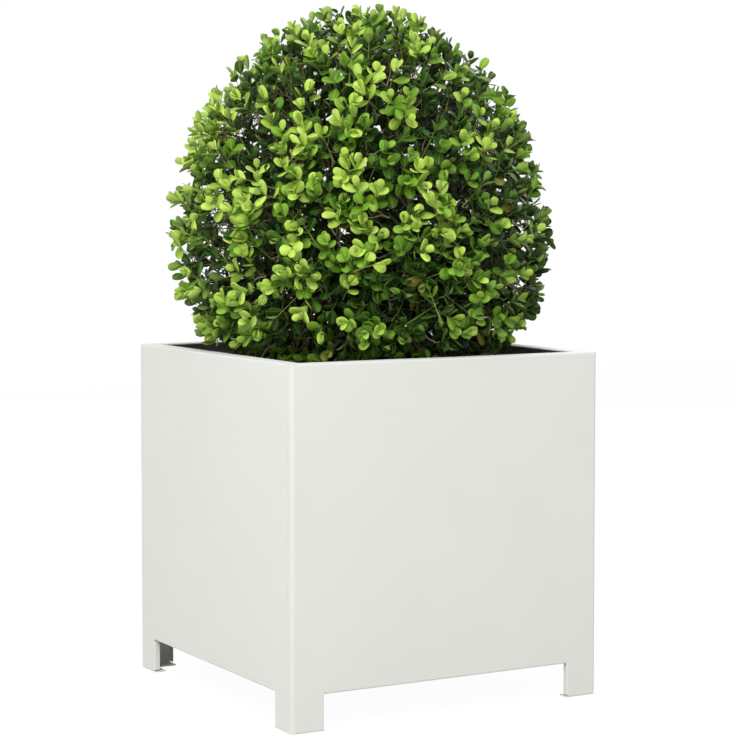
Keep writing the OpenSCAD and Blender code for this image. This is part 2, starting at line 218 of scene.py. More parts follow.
def placed(name, data):
    """A new object with this data, in the scene."""
    ob = bpy.data.objects.new(name, data)
    bpy.context.scene.collection.objects.link(ob)
    return ob


def select_only(ob):
    """Selects this piece alone and makes it active."""
    bpy.ops.object.select_all(action="DESELECT")
    ob.select_set(True)
    bpy.context.view_layer.objects.active = ob


def pick(ob, kind, test):
    """Leaves a piece in edit mode with the vertices or edges selected that pass a test."""
    bpy.ops.object.mode_set(mode="EDIT")
    bpy.ops.mesh.select_mode(type=kind)
    bpy.ops.mesh.select_all(action="DESELECT")
    bpy.ops.object.mode_set(mode="OBJECT")
    parts = {"VERT": ob.data.vertices, "EDGE": ob.data.edges}
    for part in parts[kind]:
        part.select = bool(test(part))
    bpy.ops.object.mode_set(mode="EDIT")


def settle(ob, name):
    """Names a piece and moves its place into its mesh."""
    bpy.ops.object.mode_set(mode="OBJECT")
    select_only(ob)
    bpy.ops.object.transform_apply(location=True, rotation=True, scale=True)
    ob.name = ob.data.name = name
    return ob


def apply_modifier(ob, kind, **settings):
    """Adds a modifier with these settings and applies it."""
    select_only(ob)
    made = ob.modifiers.new(kind.lower(), kind)
    for key, value in settings.items():
        setattr(made, key, value)
    bpy.ops.object.modifier_apply(modifier=made.name)


def clean(ob):
    """Merges doubled vertices and turns all faces outward."""
    select_only(ob)
    bpy.ops.object.mode_set(mode="EDIT")
    bpy.ops.mesh.select_all(action="SELECT")
    bpy.ops.mesh.remove_doubles(threshold=0.01 * MM)
    bpy.ops.mesh.normals_make_consistent(inside=False)
    bpy.ops.object.mode_set(mode="OBJECT")


def read(items, name, kind, width=1):
    """One value of each item of a mesh, as an array."""
    found = np.empty(len(items) * width, kind)
    items.foreach_get(name, found)
    return found.reshape(-1, width) if width > 1 else found


def unit(v):
    """Vectors scaled to length one."""
    return v / np.maximum(np.linalg.norm(v, axis=-1, keepdims=True), 1e-12)


def across(axis, toward):
    """The part of toward that is square to axis, with length one."""
    return unit(toward - axis * (axis * toward).sum(-1, keepdims=True))


def dress(ob, body, slot, material, *nodes):
    """Gives a new piece its finish, its body and the solids that it stands for."""
    ob.data.materials.clear()
    ob.data.materials.append(material)
    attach(ob, body)
    if nodes:
        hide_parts(*nodes)


def tubes(name, paths, sides):
    """Closed round tubes along paths. Each path is a list of points and their radii."""
    curve = bpy.data.curves.new(name, "CURVE")
    curve.dimensions = "3D"
    curve.bevel_depth = MM
    curve.bevel_resolution = sides // 2 - 2
    curve.use_fill_caps = True
    for points, radii in paths:
        spline = curve.splines.new("POLY")
        spline.points.add(len(points) - 1)
        spline.points.foreach_set("co", np.insert(points, 3, 1, axis=1).ravel())
        spline.points.foreach_set("radius", np.asarray(radii) / MM)
    select_only(placed(name, curve))
    bpy.ops.object.convert(target="MESH")
    ob = bpy.context.object
    while ob.data.uv_layers:
        ob.data.uv_layers.remove(ob.data.uv_layers[0])
    clean(ob)
    bpy.ops.object.shade_smooth_by_angle(angle=math.radians(50))
    ob.data.name = name
    return ob


def stamped(name, model, places):
    """One mesh of many copies of a small modelled shape. places holds the copies' points."""
    count, size = places.shape[:2]
    me = bpy.data.meshes.new(name)
    me.vertices.add(count * size)
    me.vertices.foreach_set("co", places.astype(np.float32).ravel())
    me.edges.add(count * len(model.edges))
    me.loops.add(count * len(model.loops))
    me.polygons.add(count * len(model.polygons))
    # Each copy counts on from the points, edges and corners of the copies before it
    for part, key, held, width in (
        ("edges", "vertices", size, 2),
        ("loops", "vertex_index", size, 1),
        ("loops", "edge_index", len(model.edges), 1),
        ("polygons", "loop_start", len(model.loops), 1),
    ):
        numbers = read(getattr(model, part), key, np.int32, width).ravel()
        numbers = numbers + held * np.arange(count)[:, None]
        getattr(me, part).foreach_set(key, numbers.astype(np.int32).ravel())
    sharp = model.attributes.get("sharp_edge")
    if sharp:
        flags = np.tile(read(sharp.data, "value", bool), count)
        made = me.attributes.new("sharp_edge", "BOOLEAN", "EDGE")
        made.data.foreach_set("value", flags)
    me.update()
    return placed(name, me)


# Materials

MULTIPLY = {"data_type": "RGBA", "blend_type": "MULTIPLY"}
BLACK = (0, 0, 0, 1)


def add_node(tree, kind, inputs=None, ramp=None, **settings):
    """Adds a node with its settings, its inputs and its colour stops. An input is a value, a
    socket, or a node whose first output is taken."""
    made = tree.nodes.new("ShaderNode" + kind)
    for key, value in settings.items():
        setattr(made, key, value)
    for key, value in (inputs or {}).items():
        if isinstance(value, bpy.types.Node):
            value = next(out for out in value.outputs if out.enabled)
        if isinstance(value, bpy.types.NodeSocket):
            tree.links.new(value, made.inputs[key])
        else:
            made.inputs[key].default_value = value
    if ramp:
        stops = made.color_ramp.elements
        while len(stops) < len(ramp):
            stops.new(0.5)
        for stop, (place, tint) in zip(stops, ramp):
            stop.position, stop.color = place, tint
    return made


def blank(name):
    """A new material with an empty tree, what adds its nodes, and its Object coordinates."""
    mat = bpy.data.materials.new(name)
    mat.use_nodes = True
    mat.node_tree.nodes.clear()
    add = partial(add_node, mat.node_tree)
    return mat, add, add("TexCoord").outputs["Object"]


def sized(place, millimetres, **more):
    """The inputs of a pattern that repeats at this size."""
    return {"Vector": place, "Scale": 1000 / millimetres, **more}


def shaded(tint, share=1):
    """A colour made darker or lighter by a share."""
    return tuple(min(1, share * part) for part in tint[:3]) + (1,)


def grey(level):
    """A grey of this linear level."""
    return (level, level, level, 1)


def powder_coat(paint, roughness):
    """Off-white polyester powder, sprayed and baked: a satin skin over steel."""
    mat, add, place = blank("satin_powder_coat")
    # Film thickness drifts over about a hand's width, which the eye reads as soft shading
    drift = add("TexNoise", sized(place, 110, Detail=2))
    # Grains that melted last leave faint pale and dark specks
    speck = add("TexNoise", sized(place, 1.6, Detail=3))
    stops = [(0.3, shaded(paint, 0.99)), (0.7, shaded(paint, 1.01))]
    tint = add("ValToRGB", {"Fac": drift}, ramp=stops)
    grain = add("MapRange", {"Value": speck, "To Min": 0.99, "To Max": 1.01})
    # Orange peel. The real waves are 1 to 2 mm long, and are drawn at 4 mm so that they show
    peel = add("TexNoise", sized(place, 4, Detail=1))
    matt = {"Value": drift, "To Min": roughness - 0.03, "To Max": roughness + 0.03}
    skin = {
        "Base Color": add("Mix", {0: 1.0, 6: tint, 7: grain}, **MULTIPLY),
        "Roughness": add("MapRange", matt),
        "Diffuse Roughness": 0.5,
        "Specular IOR Level": 0.3,
        "Normal": add("Bump", {"Height": peel, "Distance": 0.02 * MM, "Strength": 0.35}),
    }
    add("OutputMaterial", {"Surface": add("BsdfPrincipled", skin)})
    return mat


def galvanised(zinc):
    """Hot-dip galvanised sheet: flat crystals of zinc, each with its own grey."""
    mat, add, place = blank("hot_dip_galvanised_steel")
    # The crystals of the spangle are about 9 mm across
    crystals = add("TexVoronoi", sized(place, 9), feature="F1")
    each = add("SeparateColor", {"Color": crystals.outputs["Color"]})
    # Roller lines and dross, half a millimetre apart
    frost = add("TexNoise", sized(place, 0.5, Detail=2))
    stops = [(0.0, shaded(zinc, 0.72)), (1.0, shaded(zinc, 1.18))]
    skin = {
        "Base Color": add("ValToRGB", {"Fac": each}, ramp=stops),
        "Metallic": 1.0,
        "Roughness": add("MapRange", {"Value": each, "To Min": 0.34, "To Max": 0.56}),
        "Normal": add("Bump", {"Height": frost, "Distance": 0.03 * MM, "Strength": 0.4}),
    }
    add("OutputMaterial", {"Surface": add("BsdfPrincipled", skin)})
    return mat


def zinc_plate(plate):
    """Bright zinc electroplate on turned and stamped steel: an even, slightly cloudy metal."""
    mat, add, place = blank("bright_zinc_plate")
    # Cloudy passivation in patches of about 3 mm
    cloud = add("TexNoise", sized(place, 3, Detail=3))
    stops = [(0.35, shaded(plate, 0.86)), (0.65, shaded(plate))]
    skin = {
        "Base Color": add("ValToRGB", {"Fac": cloud}, ramp=stops),
        "Metallic": 1.0,
        "Roughness": add("MapRange", {"Value": cloud, "To Min": 0.22, "To Max": 0.40}),
    }
    add("OutputMaterial", {"Surface": add("BsdfPrincipled", skin)})
    return mat


def peat(soil, root=None):
    """Moist peat and bark crumbs: dark, rough and matt. With root, pale hair roots run in it."""
    mat, add, place = blank("matted_root_ball" if root else "peat_potting_mix")
    # Crumbs are 2 to 8 mm, and damp patches some 30 mm across
    crumb = add("TexVoronoi", sized(place, 4), feature="F1")
    damp = add("TexNoise", sized(place, 30, Detail=4))
    fine = add("TexNoise", sized(place, 1.2, Detail=4))
    each = add("SeparateColor", {"Color": crumb.outputs["Color"]})
    # From dark peat to paler bits of bark
    stops = [(0.0, shaded(soil, 0.45)), (0.55, shaded(soil))]
    stops += [(0.9, linear("#5A432D")), (1.0, linear("#7A5F40"))]
    tint = add("ValToRGB", {"Fac": each}, ramp=stops)
    wet = add("MapRange", {"Value": damp, "To Min": 0.55, "To Max": 1.4})
    tint = add("Mix", {0: 1.0, 6: tint, 7: wet}, **MULTIPLY)
    if root:
        # Hair roots, 3 mm apart and pulled out along the height
        pulled = add("Mapping", {"Vector": place, "Scale": (1.0, 1.0, 0.22)})
        hairs = add("TexNoise", sized(pulled, 3, Detail=6, Distortion=0.6))
        mask = add("ValToRGB", {"Fac": hairs}, ramp=[(0.52, BLACK), (0.6, grey(0.75))])
        tint = add("Mix", {0: mask, 6: tint, 7: shaded(root)}, data_type="RGBA")
    skin = {
        "Base Color": tint,
        "Roughness": 0.92,
        "Specular IOR Level": 0.25,
        "Normal": add("Bump", {"Height": fine, "Distance": 1.2 * MM, "Strength": 0.9}),
    }
    add("OutputMaterial", {"Surface": add("BsdfPrincipled", skin)})
    return mat


def wood(name, bark, furrow):
    """Box bark: dry, grey-tan and finely cracked. furrow is the width of its cracks in mm."""
    mat, add, place = blank(name)
    patch = add("TexNoise", sized(place, 22, Detail=3))
    crack = add("TexVoronoi", sized(place, furrow * 2), feature="DISTANCE_TO_EDGE")
    stops = [(0.3, shaded(bark, 0.55)), (0.5, shaded(bark)), (0.72, shaded(bark, 1.45))]
    tint = add("ValToRGB", {"Fac": patch}, ramp=stops)
    # The colour is darkened in the cracks as well as in the relief: painted shade
    depth = add("MapRange", {"Value": crack, "From Max": 0.12, "To Min": 0.45, "To Max": 1.0})
    relief = {"Height": depth, "Distance": 0.3 * furrow * MM, "Strength": 0.7}
    skin = {
        "Base Color": add("Mix", {0: 1.0, 6: tint, 7: depth}, **MULTIPLY),
        "Roughness": 0.78,
        "Normal": add("Bump", relief),
    }
    add("OutputMaterial", {"Surface": add("BsdfPrincipled", skin)})
    return mat


def leaf_skin(fresh, grown, old):
    """Waxy box leaves: glossy above, paler and duller below, and yellow-green when fresh."""
    mat, add, place = blank("waxy_box_leaf")
    # Each leaf carries its freshness, a random number and which side is which
    kind = add("SeparateColor", {"Color": add("Attribute", attribute_name="leaf_kind")})
    freshness, number, under = kind.outputs
    on_leaf = add("SeparateXYZ", {"Vector": add("UVMap", uv_map="leaf")}).outputs
    # Leaves with no freshness left, deep inside and away from the sun, darken to near black:
    # painted shade
    stops = [(0.0, shaded(old, 0.18)), (0.3, shaded(old))]
    stops += [(0.62, shaded(grown)), (1.0, shaded(fresh))]
    tint = add("ValToRGB", {"Fac": freshness}, ramp=stops)
    # Some leaves are bluer, and a few have a warm blush
    for stops, other in (
        ([(0.0, grey(0.3)), (0.2, BLACK)], "#4F8842"),
        ([(0.975, BLACK), (0.99, grey(0.5))], "#A89B42"),
    ):
        share = add("ValToRGB", {"Fac": number}, ramp=stops)
        tint = add("Mix", {0: share, 6: tint, 7: linear(other)}, data_type="RGBA")
    # Mottling in patches of about 3 mm
    mottle = add("TexNoise", sized(place, 3, Detail=2))
    spots = add("MapRange", {"Value": mottle, "To Min": 0.82, "To Max": 1.18})
    tint = add("Mix", {0: 1.0, 6: tint, 7: spots}, **MULTIPLY)
    # A pale midrib, 0.7 mm wide, and a pale margin, both fainter on old leaves
    off_middle = add("Math", {0: on_leaf["X"], 1: 0.5}, operation="SUBTRACT")
    aside = add("Math", {0: off_middle}, operation="ABSOLUTE")
    stops = [(0.02, grey(0.25)), (0.06, BLACK), (0.36, BLACK), (0.5, grey(0.4))]
    line = add("ValToRGB", {"Fac": aside}, ramp=stops)
    clear = add("MapRange", {"Value": freshness, "To Min": 0.3})
    line = add("Math", {0: line, 1: clear}, operation="MULTIPLY")
    # The underside is paler and greyer
    below = add("Math", {0: under, 1: 0.5}, operation="MULTIPLY")
    for share, other in ((line, "#C6DC86"), (below, "#8FAA5C")):
        tint = add("Mix", {0: share, 6: tint, 7: linear(other)}, data_type="RGBA")
    # Side veins about 1.3 mm apart, running up and out from the midrib
    slant = add("Math", {0: on_leaf["Y"], 1: aside}, operation="SUBTRACT")
    turns = add("Math", {0: slant, 1: 2 * math.pi * SIDE_VEINS}, operation="MULTIPLY")
    veins = add("Math", {0: turns}, operation="SINE")
    skin = {
        "Base Color": tint,
        "Roughness": add("MapRange", {"Value": under, "To Min": 0.36, "To Max": 0.62}),
        "Specular IOR Level": 0.12,
        "Normal": add("Bump", {"Height": veins, "Distance": 0.05 * MM, "Strength": 0.5}),
    }
    add("OutputMaterial", {"Surface": add("BsdfPrincipled", skin)})
    return mat


def studio_floor(tint):
    """Pale matt floor. Seen directly or in a reflection, it is nearly plain white."""
    mat, add, place = blank("pale_studio_floor")
    cloud = add("TexNoise", sized(place, 400, Detail=2))
    stops = [(0.3, shaded(tint, 0.98)), (0.7, shaded(tint))]
    shade = add("ValToRGB", {"Fac": cloud}, ramp=stops)
    seen = seen_directly(add)
    pale = add("Mix", {0: seen, 6: shade, 7: linear("#FBFBFA")}, data_type="RGBA")
    both = {
        0: add("Math", {0: seen, 1: WHITE_SHARE}, operation="MULTIPLY"),
        1: add("BsdfDiffuse", {"Color": pale}),
        2: add("Emission", {"Strength": 1.02}),
    }
    add("OutputMaterial", {"Surface": add("MixShader", both)})
    return mat


def seen_directly(add):
    """One for rays from the camera, straight or by reflections or glass, and none for light."""
    path = add("LightPath").outputs
    most = path["Is Camera Ray"]
    for name in ("Is Glossy Ray", "Is Transmission Ray"):
        most = add("Math", {0: most, 1: path[name]}, operation="MAXIMUM")
    # What a matt surface sees in a glossy one is light too
    straight = add("Math", {0: path["Diffuse Depth"], 1: 0.5}, operation="LESS_THAN")
    return add("Math", {0: most, 1: straight}, operation="MULTIPLY")


# Shapes of the plant


def ball_point(height, bearing, depth):
    """Points under the clipped ball's surface, and the surface's normals there.
    height is the sine of the height angle, and depth the distance under the surface."""
    wide = np.sqrt(np.maximum(0, 1 - height**2))
    tall = np.where(height < 0, BALL_BELOW, BALL_ABOVE)
    east, north = np.cos(bearing), np.sin(bearing)
    reach = BALL_RADIUS * wide
    point = np.stack([reach * east, reach * north, BALL_MIDDLE + tall * height], -1)
    slope = [wide * east / BALL_RADIUS, wide * north / BALL_RADIUS, height / tall]
    normal = unit(np.stack(slope, -1))
    return point - normal * depth[..., None], normal


def spread_over_ball(count, lowest, depths, rng):
    """Points spread evenly over the ball, from its top down to a height sine."""
    i = np.arange(count) + 0.5
    height = 1 - (1 - lowest) * i / count
    height = np.clip(height + rng.normal(0, 0.7 / count, count), lowest, 1)
    sway = rng.normal(0, 0.35 * math.sqrt(4 / count), count)
    bearing = i * math.pi * (3 - math.sqrt(5)) + sway
    return ball_point(height, bearing, rng.uniform(*depths, count))


def chance(i, k):
    """The k-th chance number of spray i, from 0 to 1, the same as in the solids."""
    return np.abs(np.sin(np.radians(78.233 * i + 37.719 * k))) * 43758.5453 % 1


def near_places(points, places):
    """How far points belong to places on the ball, from 0 to each place's own share."""
    most = np.zeros(len(points))
    for turn, around, part, width in places:
        at = ball_point(np.sin(np.radians([turn])), np.radians([around]), np.zeros(1))
        far = np.linalg.norm(points - at[0], axis=1) / (width * MM)
        most = np.maximum(most, part * np.exp(-(far**2)))
    return most


def spray_places():
    """The sprays that make the ball's lumps, as in the solids: tops, normals and radii."""
    i = np.arange(SPRAYS)
    share = (i + 0.5 + 0.8 * (chance(i, 1) - 0.5)) / SPRAYS
    bearing = np.radians(137.508 * i + 10 * (chance(i, 2) - 0.5))
    height = 1 - SPRAY_SPAN * share
    depth = SPRAY_PROUD + (SPRAY_SUNKEN - SPRAY_PROUD) * chance(i, 3) ** 2
    middle, normal = ball_point(height, bearing, 0 * share)
    depth = depth + DENT_DEPTH * near_places(middle, DENTS)
    return middle - normal * depth[:, None], normal, (15 + 8 * chance(i, 4)) * MM


def limb_point(turn, bearing, reach):
    """A point of the limbs, as in the solids."""
    turn, bearing = math.radians(turn), math.radians(bearing)
    tall = HOLLOW_BELOW if turn < 0 else HOLLOW_ABOVE
    wide = reach * (HOLLOW_RADIUS - LIMB_INSET) * math.cos(turn)
    high = BALL_MIDDLE + reach * (tall - LIMB_INSET) * math.sin(turn)
    return np.array([wide * math.cos(bearing), wide * math.sin(bearing), high])


def winding(a, b, count, sway, rng):
    """A path from a to b that sways from side to side."""
    t = np.linspace(0, 1, count)[:, None]
    along = unit(b - a)
    side = across(along, rng.normal(size=3))
    other = np.cross(along, side)
    size = sway * np.linalg.norm(b - a)
    turns = rng.uniform(1, 2)
    phase = rng.uniform(0, 2 * math.pi)
    swing = np.sin(math.pi * t)
    roll = np.sin(2 * math.pi * turns * t + phase)
    return a + (b - a) * t + side * size * swing + other * 0.5 * size * swing * roll


def branch(a, b, wood_kind, rng):
    """The path and the radii of one piece of wood from a to b."""
    count, sway, thick, thin = wood_kind
    return winding(a, b, count, sway, rng), np.linspace(thick, thin, count)


def grow_limbs(rng):
    """Paths and radii of the stem and its forked limbs, along the solids' own routes."""
    foot = np.array([0, 0, ROOT_HIGH.z - 0.035])
    top = np.array([0, 0, LEADER])
    stem = winding(foot, top, 18, 0.012, rng)
    stem[:5, :2] *= np.linspace(0, 1, 5)[:, None]
    radii = np.interp(
        stem[:, 2],
        [foot[2], ROOT_HIGH.z, ROOT_HIGH.z + 0.02, CROWN, LEADER],
        [0.0115, 0.0145, 0.0118, 0.0112, 0.0045],
    )
    paths = [(stem, radii), branch(top, limb_point(90, 0, 1), LEADER_TOP, rng)]
    for begin, turn, bearing, number, spread in LIMB_RINGS:
        start = np.array([0, 0, CROWN + begin * (LEADER - CROWN)])
        for i in range(number):
            around = bearing + 360 * i / number
            fork = limb_point(0.8 * turn, around, 0.62)
            paths.append(branch(start, fork, LIMB, rng))
            for side in (-1, 1):
                tip = limb_point(turn + side * spread / 2, around + side * spread, 1)
                paths.append(branch(fork, tip, FORK, rng))
    return paths


def branch_out(points, ends, least, wood_kind, rng):
    """Wood to each end from its best point: near, and closer to the stem's crown."""
    crown = np.array([0, 0, 0.5 * (CROWN + LEADER)])
    inner = np.linalg.norm(points - crown, axis=1)
    found = []
    for end in ends:
        far = np.linalg.norm(points - end, axis=1)
        late = inner - np.linalg.norm(end - crown) + 0.6 * far
        start = points[np.argmin(far + 2 * np.maximum(0, late))]
        if np.linalg.norm(end - start) > least:
            found.append(branch(start, end, wood_kind, rng))
    return found


# Shoots of the sprays: how deep their tips lie under the spray's top in mm, how long they are in
# mm, how many leaf pairs and how large their leaves are
OUTER = ((-3, 6), (34, 54), (3, 4), 1.0)
MOODS = ((0.82, 1.12), (0.4, 0.76), (0.07, 0.32))
LOW_SHOOTS = 110
# The deeper layers are less fresh, so the leaves inside the ball are dark: partly older leaves,
# partly painted shade
# Layers of shoots behind them, from outside inward: how many, how deep their tips lie in mm,
# how long they are in mm, how many leaf pairs, how fresh they are and how large their leaves are
LAYERS = (
    (360, (18, 36), (40, 60), (3, 5), (-0.1, 0.28), 1.0),
    (230, (44, 78), (40, 60), (4, 5), (-0.1, 0.12), 1.0),
    (150, (90, 130), (40, 60), (3, 4), (-0.1, 0.05), 1.0),
)


def grow_shoots(settings, rng):
    """Leafy shoots as dicts: their path, and each leaf's place, axes, size and freshness."""
    starts = []
    for top, normal, radius in zip(*spray_places()):
        side = across(normal, rng.normal(size=3))
        other = np.cross(normal, side)
        number = rng.integers(1, 5)
        first = rng.uniform(0, 2 * math.pi)
        # New growth, this year's older growth, and old growth
        usual = rng.choice(3, p=[0.47, 0.29, 0.24])
        for j in range(number):
            turn = first + 2 * math.pi * j / number + rng.normal(0, 0.3)
            away = (radius - 3 * MM) * math.sqrt(rng.uniform(0.2, 1))
            lean = side * math.cos(turn) + other * math.sin(turn)
            tip = top + lean * away - normal * rng.uniform(*OUTER[0]) * MM
            # Most shoots of a spray are of its usual kind
            kind = usual if rng.random() < 0.6 else rng.integers(3)
            # Fresher toward the sun and older away from it: partly growth, partly painted light
            # and shade
            mood = rng.uniform(*MOODS[kind]) + SUN_AND_PAINTED_LIGHT_OUTSIDE * normal @ SUN
            starts.append((tip, unit(normal + lean * 0.35), mood, *OUTER[1:]))
    for count, depths, lengths, pairs, fresh, size in LAYERS:
        depths = (depths[0] * MM, depths[1] * MM)
        for tip, normal in zip(*spread_over_ball(count, -0.72, depths, rng)):
            # Fresher toward the sun and older away from it: partly growth, partly painted light
            # and shade
            mood = rng.uniform(*fresh) + SUN_AND_PAINTED_LIGHT_INSIDE * normal @ SUN
            starts.append((tip, normal, mood, lengths, pairs, size))
    # Low shoots that hang inside the rim
    for bearing in rng.uniform(0, 2 * math.pi, LOW_SHOOTS):
        out = np.array([math.cos(bearing), math.sin(bearing), 0])
        tip = out * rng.uniform(0.125, 0.155)
        tip[2] = rng.uniform(LEAF_LOW + 0.006, RIM_TOP + 0.006)
        # Fresher toward the sun and older away from it: partly growth, partly painted light and
        # shade
        mood = rng.uniform(*MOODS[rng.integers(3)]) + SUN_AND_PAINTED_LIGHT_OUTSIDE * out @ SUN
        starts.append((tip, unit(out - 0.25 * UP), mood, *OUTER[1:]))
    tips = np.array([start[0] for start in starts])
    kept = rng.random(len(tips)) > near_places(tips, AIRY)
    # Fresher and older places: partly growth, partly painted light and shade
    more = near_places(tips, FRESH_AND_PAINTED_LIGHT) - near_places(tips, OLD_AND_PAINTED_SHADE)
    shoots = []
    for index in np.flatnonzero(kept):
        tip, normal, fresh, lengths, pairs, size = starts[index]
        fresh += more[index]
        wide = math.hypot(tip[0], tip[1]) > PLUG_RADIUS - 0.01
        if tip[2] < LEAF_LOW + 0.004 or wide and tip[2] < RIM_TOP + 0.008:
            continue
        lean = normal * 0.85 + UP * rng.uniform(0.1, 0.45) + rng.normal(0, 0.28, 3)
        long = rng.uniform(*lengths) * MM
        number = rng.integers(pairs[0], pairs[1] + 1)
        shoot = grow_shoot(tip, normal, unit(lean), long, number, fresh, size, settings, rng)
        shoots.append(shoot)
    return shoots


def grow_shoot(tip, normal, lean, long, pairs, fresh, size, settings, rng):
    """One shoot: a bent stem with leaf pairs, each square to the one before."""
    side = across(lean, rng.normal(size=3))
    base = tip - lean * long + side * long * rng.uniform(0.05, 0.3)
    middle = tip - lean * long * 0.5

    def bent(t):
        """A point of the stem, from its base, 0, to its tip, 1."""
        return (1 - t) ** 2 * base + 2 * t * (1 - t) * middle + t**2 * tip

    first = rng.uniform(0, math.pi)
    leaves = []
    for k in range(pairs):
        back = settings.internode * (0.15 + 0.7 * k + 0.12 * k * k)
        t = 1 - min(back / long, 0.98)
        point = bent(t)
        axis = unit(2 * (1 - t) * (middle - base) + 2 * t * (tip - middle))
        u = across(axis, side)
        v = np.cross(axis, u)
        angle = first + k * math.pi / 2 + rng.normal(0, 0.2)
        # Pairs open out with age
        spread = math.radians(np.interp(k, *OPENING) + rng.normal(0, 9))
        forth, off = math.cos(spread), math.sin(spread)
        grown = np.interp(k, *GROWTH) * size
        for turn in (0, math.pi):
            # A few older leaves have dropped
            if k > 1 and rng.random() < 0.12:
                continue
            a = angle + turn + rng.normal(0, 0.12)
            out = u * math.cos(a) + v * math.sin(a)
            along = unit(axis * forth + out * off)
            face = unit(axis * off - out * forth)
            # Leaf stalks twist, so that the upper side turns to the light
            face = face + normal * rng.uniform(0.4, 1.2) + UP * rng.uniform(0.0, 0.5)
            face = across(along, face + rng.normal(0, 0.15, 3))
            leaves.append(
                (
                    point,
                    along,
                    face,
                    settings.leaf_length * grown * rng.uniform(0.84, 1.14),
                    settings.leaf_width * grown * rng.uniform(0.84, 1.14),
                    fresh * (1 - 0.2 * k) + rng.normal(0, 0.07),
                    np.interp(k, *CUP) + rng.normal(0, 0.07),
                    np.interp(k, *CURL) + rng.normal(0, 0.06),
                    rng.random(),
                )
            )
    return {"path": bent(np.linspace(0, 1, 6)[:, None]), "leaves": leaves, "base": base}


def plan_plant(settings):
    """The whole plant's wood and shoots, the same for each operator that draws a part of it."""
    rng = np.random.default_rng(settings.seed)
    limbs = grow_limbs(rng)
    shoots = grow_shoots(settings, rng)
    joints = np.concatenate([p[3:] for p, r in limbs[1:]])
    ends, _ = spread_over_ball(BRANCH_ENDS, -0.6, (0.045, 0.085), rng)
    ends = ends[ends[:, 2] > LEAF_LOW + 0.03]
    branches = branch_out(joints, ends, 8 * MM, BRANCH, rng)
    joints = np.concatenate([joints] + [p[1:] for p, r in branches])
    bases = np.array([s["base"] for s in shoots])
    twigs = branch_out(joints, bases, 4 * MM, TWIG, rng)
    return limbs, branches, twigs, shoots


def clear_of_planter(points, room):
    """True for points that keep this room to the rim and the soil."""
    aside = np.abs(points[..., :2]).max(-1)
    low = (points[..., 2] < RIM_TOP + room) & (aside > RIM_HALF - 2 * room)
    return ~low & (points[..., 2] > SOIL_HIGH.z + room)


# Operators


class PLANTER_OT_finish_steel(bpy.types.Operator):
    """Powder coats the panels and corner angles, and finishes the floor and the fasteners"""

    bl_idname = "planter.finish_steel"
    bl_label = "Finish the steel"

    def execute(self, context):
        settings = context.scene.planter_steel
        paint = powder_coat(settings.paint, settings.paint_roughness)
        zinc = galvanised(settings.zinc)
        plate = zinc_plate(settings.plate)
        for name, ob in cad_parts.items():
            if name.endswith("_panel") or name.startswith("corner_angle"):
                finish = paint
            elif name.startswith("floor_"):
                finish = zinc
            elif name.endswith(("_studs", "_washers", "_nuts")):
                finish = plate
            else:
                continue
            for slot in ob.material_slots:
                slot.material = finish
        return {"FINISHED"}


class PLANTER_OT_lay_soil(bpy.types.Operator):
    """Models the block of potting mix with its hollow for the root ball, and its loose crumbs"""

    bl_idname = "planter.lay_soil"
    bl_label = "Lay the soil"

    def execute(self, context):
        settings = context.scene.planter_soil
        finish = peat(settings.soil)
        size = SOIL_HIGH - SOIL_LOW
        middle = (SOIL_LOW + SOIL_HIGH) / 2
        bpy.ops.mesh.primitive_cube_add(size=1, scale=size, location=middle)
        block = settle(context.object, "potting_mix")
        at = block.data.vertices
        pick(block, "EDGE", lambda e: abs(at[e.vertices[0]].co.z - at[e.vertices[1]].co.z) > 0.1)
        bpy.ops.mesh.bevel(offset=SOIL_ROUNDING, segments=3)
        bpy.ops.object.mode_set(mode="OBJECT")
        hollow = root_cone("hollow", 1 * MM)
        apply_modifier(block, "BOOLEAN", object=hollow, operation="DIFFERENCE")
        bpy.data.objects.remove(hollow)
        roughen(block, settings.grain)
        dress(block, "plant", "soil", finish, "potting_soil")

        rng = np.random.default_rng(3)
        loose = crumbs_model(settings.crumb)
        half = SOIL_HIGH.x - SOIL_ROUNDING
        spots = rng.uniform(-half, half, (settings.crumbs * 2, 2))
        keep = np.linalg.norm(spots, axis=1) > ROOT_HIGH.x + 0.006
        spots = spots[keep][: settings.crumbs]
        places = scattered(loose, spots, SOIL_HIGH.z - 0.002, rng)
        dress(stamped("soil_crumbs", loose, places), "plant", "soil", finish)
        return {"FINISHED"}


def root_cone(name, wider):
    """The root ball's plain tapered shape, wider all round by a length."""
    depth = ROOT_HIGH.z - ROOT_LOW.z
    bpy.ops.mesh.primitive_cone_add(
        vertices=48,
        radius1=ROOT_FOOT + wider,
        radius2=ROOT_HIGH.x + wider,
        depth=depth + 2 * wider,
        location=(0, 0, ROOT_LOW.z + depth / 2),
    )
    return settle(bpy.context.object, name)


def roughen(ob, grain):
    """Gives a closed shape an even mesh, and pushes lumps and crumbs into its surface."""
    apply_modifier(ob, "REMESH", mode="VOXEL", voxel_size=grain, adaptivity=0)
    for name, size, octaves, share in (("lumps", 22, 2, 1), ("grains", 6, 1, 0.8)):
        clouds = bpy.data.textures.new(name, "CLOUDS")
        clouds.noise_scale, clouds.noise_depth = size * MM, octaves
        apply_modifier(
            ob,
            "DISPLACE",
            texture=clouds,
            texture_coords="LOCAL",
            strength=share * CRUMB_DEPTH,
            mid_level=1.0,
        )
    clean(ob)
    bpy.ops.object.shade_smooth()


